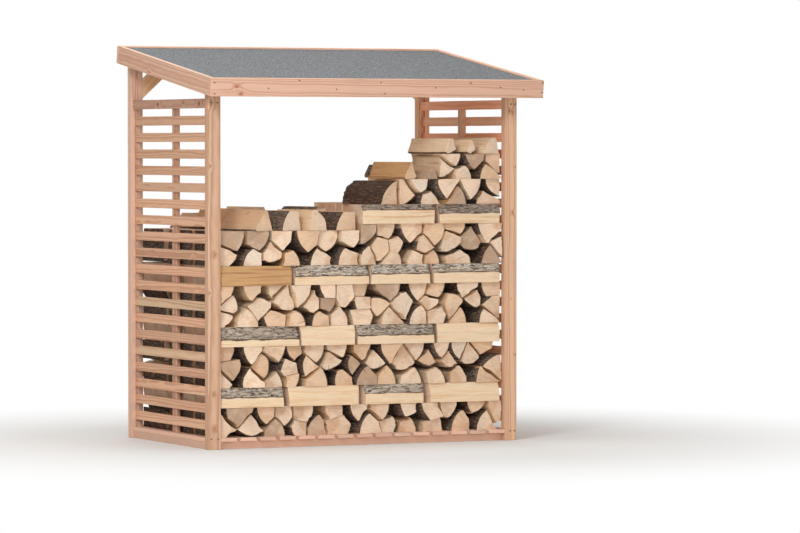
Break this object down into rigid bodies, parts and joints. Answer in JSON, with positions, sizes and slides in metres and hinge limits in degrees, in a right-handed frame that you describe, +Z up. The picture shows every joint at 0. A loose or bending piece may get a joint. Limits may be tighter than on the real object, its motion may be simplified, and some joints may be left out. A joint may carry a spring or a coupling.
{
  "type": "log store",
  "caption": "Open timber log store with slatted sides, a floor of boards and a felted roof panel sloping to the front, holding a stack of split firewood.",
  "frame": {"origin": "on the ground, under the middle of the whole outline with the roof included", "axes": "+Z up, -Y towards the open front (the eaves), +X to the right seen from the front"},
  "size_m": [1.898, 1.291, 2.0909],
  "materials": {
    "timber": "planed, untreated",
    "fascia_timber": "planed, untreated, in the sun",
    "felt": "mineral felt, grey grit",
    "firewood": "split and sawn, bark on the round side"
  },
  "bodies": {
    "root": {"bark_log": "firewood", "bearer_back": "timber", "bearer_front": "timber", "bearer_middle": "timber", "bottom_rail_left": "timber", "bottom_rail_right": "timber", "brace_back_left": "timber", "brace_back_right": "timber", "cross_logs_1": "firewood", "cross_logs_2": "firewood", "cross_logs_3": "firewood", "cross_logs_4": "firewood", "fascia_back": "fascia_timber", "fascia_front": "fascia_timber", "fascia_left": "fascia_timber", "fascia_right": "fascia_timber", "floor_boards": "timber", "heap_1": "firewood", "heap_2": "firewood", "heap_logs_askew": "firewood", "logs_1": "firewood", "logs_2": "firewood", "logs_3": "firewood", "logs_4": "firewood", "mid_batten_left": "timber", "mid_batten_right": "timber", "post_back_left": "timber", "post_back_right": "timber", "post_front_left": "timber", "post_front_right": "timber", "rafters": "timber", "roof_boards": "timber", "roof_felt": "felt", "slats_left": "timber", "slats_right": "timber", "top_logs_askew": "firewood", "top_rail_left": "timber", "top_rail_right": "timber"}
  },
  "joints": []
}
